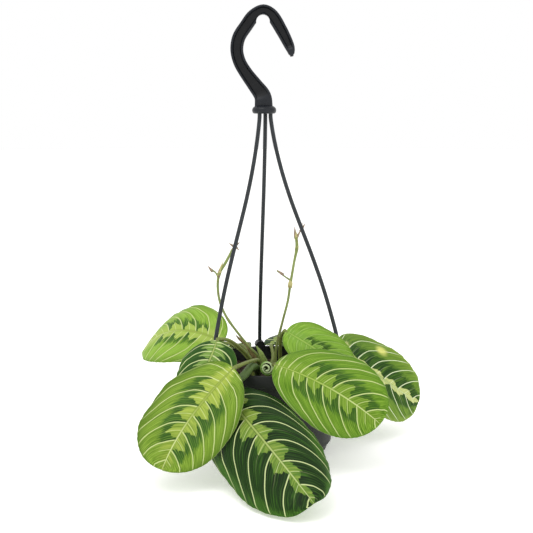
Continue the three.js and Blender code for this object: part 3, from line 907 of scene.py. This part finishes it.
def patches(f, m, look):
    # the shares of the pale band, which has a tooth in each cell, of all that is pale, and of the blotches
    wide, narrow = look["bandWidth"]
    band = wide + (narrow - wide) * m.t
    tooth = f.maths("MINIMUM", 0.64 + m.q * 1.4, 2.3 - m.q * 2.3)
    notch = f.maths("FRACT", m.q * 3.4 + m.chance) * 0.26 - 0.13
    edge = band * (tooth + notch + (m.chance - 0.5) * 0.4 + (m.fine - 0.5) * 0.45)
    inBand = 1 - f.step(m.a - edge, -0.006, 0.008)
    softBand = 1 - f.step(m.a + (m.stripes - 0.5) * 0.25, 0.12, 0.42)
    left, right = look["sides"]
    blotched = f.maths("GREATER_THAN", m.cell, look["firstCell"] + 0.5)
    blotched = blotched * f.maths("LESS_THAN", m.cell, look["lastCell"]) * (m.side * (right - left) + left)
    reach = look["blotchReach"] * (1.02 + m.chance * 0.24 - m.t * 0.26)
    reach = reach + (m.streak - 0.5) * 0.55 + (m.fine - 0.5) * 0.5
    inBlotch = f.step(m.a - edge, -0.004, 0.008) * (1 - f.step(m.a - reach, -0.03, 0.04)) * blotched
    return inBand, f.maths("MAXIMUM", inBand * blotched, softBand * (1 - blotched)), inBlotch


def groundColour(f, m, look, inPale, inBlotch):
    # all but the veins: the cells and the margin, then what is pale, the blotches and the fine threads
    plain = f.blend(m.stripes + (m.hollow - 0.6) * 0.35, *look["cell"])
    plain = f.blend(f.step(m.a, 0.7, 1.0) * (0.5 + m.stripes * 0.4), plain, look["margin"])
    plain = f.blend((1 - f.step(m.t, 0.25, 0.6)) * look["baseShade"], plain, look["blotch"][1])
    pale = m.t * 0.9 + (m.stripes - 0.5) * 1.1 + (0.5 - m.hollow) * 0.25 + m.a * 0.9 - 0.1
    pale = f.blend(pale, *look["band"])
    deep = f.blend(m.stripes + (m.a - 0.5) * 0.6, *look["blotch"])
    deep = f.blend(f.step(m.stripes * m.hollow, 0.5, 0.95) * look["lighten"], deep, look["cell"][1])
    colour = f.blend(inBlotch, f.blend(inPale, plain, pale), deep)
    return f.blend(m.thread * (1 - inBlotch * 0.5) * look["lineShare"], colour, look["line"])


def ribAndRim(f, m, look, half, colour):
    # the midrib between two darker furrows, and a thin pale rim along the margin
    fromRib = m.a * half
    ribWidth = 1.1 - m.t * 0.5
    rib = f.blend(f.step(m.t, 0.35, 0.85) * look["ribFade"], look["rib"], tint(look["vein"], 0.9))
    furrow = (1 - f.step(fromRib, ribWidth * 1.3, ribWidth * 2)) * (1 - f.step(m.t, 0.4, 0.9)) * 0.4
    colour = f.blend(furrow, colour, look["cell"][0])
    colour = f.blend(1 - f.step(fromRib, ribWidth * 0.5, ribWidth), colour, rib)
    rim = 1 - f.step((1 - m.a) * half, 0.15, 0.5)
    return f.blend(rim * 0.4, colour, tint(look["vein"], 0.8))


def leafFinish(name, leaf):
    look = {**leafLooks[leaf["look"]], **leaf.get("own", {})}
    f = Finish(name)
    m = BladeMap(f, leaf)
    vein, veinlet = veinLines(f, m, look)
    inBand, inPale, inBlotch = patches(f, m, look)
    colour = groundColour(f, m, look, inPale, inBlotch)
    colour = f.blend(veinlet * f.maths("MAXIMUM", inBand, 0.3), colour, look["vein"])
    colour = f.blend(vein * look["veinShare"], colour, look["vein"])
    colour = ribAndRim(f, m, look, leaf["width"] / 2, colour)
    if "spot" in leaf:
        x, y, size = leaf["spot"]
        gap = f.distance(m.uv, (x, y, 0))
        patch = 1 - f.step(gap + (m.streak - 0.5) * size, size * 0.2, size)
        colour = f.blend(patch * 0.85, colour, "d8d878")
    rough = 0.46 + (m.fine - 0.5) * 0.14 + vein * 0.08
    height = m.fine * 0.8 + m.streak * 0.6 - vein * 0.9 - veinlet * 0.5
    return f.dress(colour, rough, height, 0.00022, Specular_IOR_Level=0.12)


def undersideFinish(name, colourName):
    # one finish for all the leaves of a look, so its veins suit a leaf of a middling size
    middling = {"width": 70, "length": 100}
    f = Finish(name)
    uv = f.node("ShaderNodeUVMap", {"uv_map": "blade"}, [])
    a = f.maths("ABSOLUTE", f.part(uv, 0) * 2 - 1)
    start, steep = veinMap(f, middling, a, f.part(uv, 1))
    phase = start ** veins["crowd"] * veins["count"]
    q = f.maths("FRACT", phase)
    line = 1 - f.step(f.maths("MINIMUM", q, 1 - q), 0.02, 0.07)
    fine = f.grain(f.joined(phase * 18.0, a * 3.0, 0.0), 1.0, 2.0)
    colour = f.blend(fine, tint(colourName, 0.75), colourName)
    colour = f.blend(line * 0.4, colour, "b7c79a")
    return f.dress(colour, 0.6, fine * 0.5 + line, 0.0002, Specular_IOR_Level=0.3)


def stemFinish(name, low, high, dark):
    f = Finish(name)
    place = f.place()
    length = f.grain(f.stretched(place, 1.4, 1.4, 0.12), 1.0, 3.0)
    mottle = f.grain(place, 0.25, 3.0)
    colour = f.blend(length, low, high)
    colour = f.blend(f.step(mottle, 0.52, 0.72) * 0.6, colour, dark)
    return f.dress(colour, 0.5, length + mottle * 0.5, 0.00015, Specular_IOR_Level=0.4)


stalkFinish = stemFinish("leafStalk", "505c26", "808c42", "413f1e")
sheathFinish = stemFinish("leafSheath", "33481c", "5c7636", "283618")
undersides = {}
for kind, values in leafLooks.items():
    undersides[kind] = undersideFinish("underside_" + kind, values["under"])
for node, leaf in leaves.items():
    midrib = midribOf(leaf)
    sheet = makeBlade(leaf, midrib)
    sheet.data.materials.append(leafFinish(node + "_top", leaf))
    sheet.data.materials.append(undersides[leaf["look"]])
    applyAll(sheet)
    bpy.ops.object.shade_smooth()
    stalk = makeStalk(leaf, midrib)
    stalk.data.materials.append(sheathFinish if "sheath" in leaf else stalkFinish)
    whole = joinPieces(sheet, stalk)
    words = node.split("_")
    title = words[0] + "".join(word.title() for word in words[1:])
    finishPiece(whole, title, node, "leaf_" + leaf["look"])


# Young growth: a leaf still rolled up, a green bract, a dry one, and two flower stalks

rolled = {
    "stem": [(-3, -18), (-3, -21, 77), (-3, -31, 81.5)], "radii": [2.2, 2.2, 2.2, 2.4, 2.8],
    "start": (-3, -29, 81.2), "end": (-3, -46.2, 83.4), "from": 3, "to": 8, "turns": 2.6, "core": 0.1,
    "thick": 1.55, "clock": 150, "eye": (-1.6, -1.5), "heart": (-2.3, -1.9, 0), "columns": 110, "rows": 18,
    "lipRise": 0.05, "lipDip": 0.06,
}


def makeRolledLeaf():
    r = rolled
    sheet = flatSheet(r["columns"], r["rows"])
    start, end = spot(*r["start"]), spot(*r["end"])
    along = (end - start).normalized()
    across = Vector((1, 0, 0))
    up = across.cross(along) * -1
    for vertex in sheet.data.vertices:
        turn, t = (vertex.co.x + 1) / 2, (vertex.co.y + 1) / 2
        big = mix(r["from"], r["to"], t ** 0.7) - r["thick"]
        radius = big * mix(r["core"], 1, turn ** 0.8)
        angle = radians(r["clock"]) + turn * r["turns"] * 2 * pi
        eye = (across * r["eye"][0] + up * r["eye"][1]) * (1 - turn) * t
        lip = t + (1 - turn) * r["lipRise"] * t - r["lipDip"] * t * sin(angle * 0.5) ** 2
        place = (across * cos(angle) + up * sin(angle)) * radius + eye
        vertex.co = start.lerp(end, lip) + place * mm
    thicken(sheet, r["thick"])
    applyAll(sheet)
    bpy.ops.object.shade_smooth()
    return joinPieces(sheet, taperedTube(stemLine(r["stem"], 20), r["radii"], 4))


def rollFinish():
    # green outside, pale within where the upper face shows, and painted shade dark in the hollow of the roll
    f = Finish("rolledLeaf")
    place = f.place()
    x = f.part(place, 0) - rolled["end"][0]
    z = f.part(place, 2) - rolled["end"][2]
    out = (x * x + z * z) ** 0.5
    gap = f.distance(f.joined(x, z, 0.0), rolled["heart"])
    fine = f.grain(f.stretched(place, 1.2, 0.3, 1.2), 1.0, 3.0)
    colour = f.blend(f.step(out, 4.2, 5.6), "cdddaa", "6b983a")
    colour = f.blend(fine * 0.5, colour, "86a84e")
    # painted shade in the hollow at the middle of the roll
    colour = f.blend((1 - f.step(gap, 0.5, 1.5)) * 0.9, colour, "1d3a12")
    colour = f.blend(f.step(f.part(place, 1), -42.0, -34.0), colour, "6f8436")
    return f.dress(colour, 0.45, fine, 0.0002)


finishPiece(makeRolledLeaf(), "rolledLeaf", "rolled_leaf", "stem_green", rollFinish())

bracts = {
    "green_bract": {
        "line": [(-3, -8, 72), (-4, -9, 78), (-8, -10, 87), (-12.8, -10, 94)],
        "width": [3.0, 3.2, 2.6, 0.3], "wrap": 85, "facing": (0.4, -0.8, 0.5), "thick": 0.6, "crease": 0.4,
    },
    "dry_bract": {
        "line": [(-11, 6, 72), (-13, 5, 80), (-20, 4, 91), (-31, 3, 101)],
        "width": [2.8, 3.6, 2.6, 0.25], "wrap": 95, "facing": (0.4, -0.6, 0.7), "thick": 0.4, "crease": 1.6,
    },
}
bractRadii = [2.2, 2.2, 2.0, 1.4, 0.9]


def makeBract(bract, seed):
    sheet = flatSheet(20, 40)
    points = [spot(*point) for point in bract["line"]]
    facing = Vector(bract["facing"]).normalized()
    for vertex in sheet.data.vertices:
        s, t = vertex.co.x, (vertex.co.y + 1) / 2
        along = runAt(routePoint, points, t, 0.02).normalized()
        side = along.cross(facing).normalized()
        front = side.cross(along).normalized()
        half = valueAlong(bract["width"], t)
        angle = radians(bract["wrap"]) * s
        curl = half / radians(bract["wrap"])
        crinkle = bract["crease"] * noise.noise(Vector((s * 3 + seed, t * 5, seed))) * (0.3 + abs(s))
        offset = side * sin(angle) * curl * 1.3 - front * (1 - cos(angle)) * curl + front * crinkle
        vertex.co = routePoint(points, t) + offset * mm
    thicken(sheet, bract["thick"])
    applyAll(sheet)
    bpy.ops.object.shade_smooth()
    stem = [bract["line"][0][:2]] + bract["line"][1:3]
    return joinPieces(sheet, taperedTube(stemLine(stem, 16), bractRadii, 3))


bractGreen = stemFinish("bractGreen", "6f8a34", "a3b86a", "55692a")
bractDry = stemFinish("bractDry", "6f5c34", "a89a68", "4a3a22")
finishPiece(makeBract(bracts["green_bract"], 2), "greenBract", "green_bract", "stem_green", bractGreen)
finishPiece(makeBract(bracts["dry_bract"], 5), "dryBract", "dry_bract", "dry_sheath", bractDry)

flowers = {
    "flower_stalk_left": {
        "main": [(-9, -3), (-12, -4, 84), (-19, -5, 92), (-28, -4, 103), (-40, -3, 120), (-46, -2, 136),
                 (-46, -2, 156), (-40, -1, 167), (-34, 1, 178), (-31.5, 1, 182)],
        "radii": [2, 2, 1.5, 1.3, 1.2, 1.1, 1.1, 1.1, 1.2, 1.3, 1, 0.6],
        "side": [(-46, -2, 153), (-48.5, -2, 158), (-52, -2, 161)],
        "nodes": [(0.52, 6, 1.3), (0.735, 13, 1.7), (0.9, 6, 1.3)],
        "dried": [
            ((-46, -2.2, 155), (-45.4, -3, 163)), ((-52, -2, 160), (-56.5, -2.4, 165)),
            ((-32, -0.6, 181), (-38, -3.5, 185)), ((-31.5, 0, 182), (-26.5, -2.5, 185.5)),
            ((-31.5, 0, 182), (-27.5, -3, 177)), ((-32, 0, 182), (-31, -3.6, 180)),
        ],
    },
    "flower_stalk_right": {
        "main": [(4, 6), (4.5, 5.5, 88), (10.5, 5, 114), (15, 5, 132), (17, 5, 146), (18, 5, 152),
                 (20.5, 5, 167), (22.8, 5, 180), (22, 5, 189), (21, 5, 194)],
        "radii": [2, 2, 1.5, 1.3, 1.1, 1.1, 1.2, 1.2, 1.1, 1.4, 1.2, 0.6],
        "side": [(18, 5, 150), (12, 5, 154), (5.5, 5, 159)],
        "nodes": [(0.54, 11, 2.1), (0.8, 12, 1.6), (0.9, 9, 1.7)],
        "dried": [
            ((10, 5, 156), (3.4, 4.6, 160.4)), ((21.3, 5, 190), (20.4, 4.4, 200)),
            ((22.4, 5, 188), (27.4, 5, 197)), ((26.4, 5, 195), (31, 4.6, 202)),
            ((26.6, 5, 195), (28, 4, 203)),
        ],
    },
}
flowerStem = {"steps": 72, "knot": 0.45, "knotShare": 0.008, "branch": [0.9, 0.7, 0.8], "dried": 1.25}


def husk(point, along, length, width):
    # a small dry scale that wraps a joint of the stalk
    bpy.ops.mesh.primitive_cone_add(vertices=14, radius1=width * mm, radius2=0.15 * mm, depth=length * mm)
    scale = bpy.context.object
    openEdit(scale)
    bpy.ops.mesh.subdivide(number_cuts=2)
    mesh = bmesh.from_edit_mesh(scale.data)
    for vertex in mesh.verts:
        height = vertex.co.z / (length * mm) + 0.5
        bulge = 1 + 0.5 * sin(pi * height)
        vertex.co.x = vertex.co.x * bulge + 0.35 * mm * height ** 2
        vertex.co.y *= bulge * 0.8
    bmesh.update_edit_mesh(scale.data)
    bpy.ops.object.mode_set(mode="OBJECT")
    bpy.ops.object.shade_smooth()
    scale.rotation_euler = along.to_track_quat("Z", "X").to_euler()
    scale.location = point + along.normalized() * length * 0.35 * mm
    settle(scale)
    return scale


def makeFlowerStalk(flower):
    steps = flowerStem["steps"]
    line = stemLine(flower["main"], steps)
    radii = []
    for i in range(steps + 1):
        t = i / steps
        knot = sum(exp(-((t - node[0]) / flowerStem["knotShare"]) ** 2) for node in flower["nodes"])
        radii.append(valueAlong(flower["radii"], t) + flowerStem["knot"] * knot)
    parts = [tube(line, radii, 3), taperedTube(route(flower["side"], 12), flowerStem["branch"], 3)]
    for stem in parts:
        stem.data.materials.append(flowerFinish)
    for place, length, width in flower["nodes"]:
        i = round(place * steps)
        parts.append(husk(line[i], line[i + 1] - line[i - 1], length, width))
        parts[-1].data.materials.append(huskFinish)
    for start, end in flower["dried"]:
        along = spot(*end) - spot(*start)
        parts.append(husk(spot(*start), along, along.length / mm, flowerStem["dried"]))
        parts[-1].data.materials.append(driedFinish)
    return joinPieces(*parts)


flowerFinish = stemFinish("flowerStalk", "56682c", "93a05a", "6a5c34")
huskFinish = stemFinish("flowerHusk", "968e50", "c4bd86", "7a6440")
driedFinish = stemFinish("flowerDried", "6a5844", "a8947c", "44342a")
for node, flower in flowers.items():
    side = node.split("_")[-1].title()
    finishPiece(makeFlowerStalk(flower), "flowerStalk" + side, node, "flower_stem")


# Floor, light and camera, in metres

studio = {"floor": 6, "sky": 1.0, "key": 9, "fill": 3, "aim": (0, 0, 0.1)}
view = {"place": (-0.004, -0.98, 0.31), "tilt": 81.5, "lens": 75.985}
bpy.ops.mesh.primitive_circle_add(vertices=96, radius=studio["floor"], fill_type="NGON")
floor = bpy.context.object
floor.name = "floor"
paper = Finish("paper")
floor.data.materials.append(paper.dress(tint("fbfbf9"), 0.9, Specular_IOR_Level=0.1,
                                        Emission_Color=(1, 1, 0.97, 1), Emission_Strength=0.3))

world = bpy.context.scene.world or bpy.data.worlds.new("studio")
bpy.context.scene.world = world
world.use_nodes = True
sky = world.node_tree.nodes["Background"].inputs
sky["Color"].default_value = (1, 1, 1, 1)
sky["Strength"].default_value = studio["sky"]


def softbox(name, place, size, power):
    bpy.ops.object.light_add(type="AREA", location=place)
    lamp = bpy.context.object
    lamp.name = name
    lamp.data.size = size
    lamp.data.energy = power
    lamp.rotation_euler = (Vector(studio["aim"]) - Vector(place)).to_track_quat("-Z", "Y").to_euler()


softbox("keyLight", (-0.5, -0.7, 1.5), 1.0, studio["key"])
softbox("fillLight", (0.9, -1.1, 0.8), 1.2, studio["fill"])

bpy.ops.object.camera_add(location=view["place"], rotation=(radians(view["tilt"]), 0, 0))
camera = bpy.context.object
camera.data.lens = view["lens"]
bpy.context.scene.camera = camera
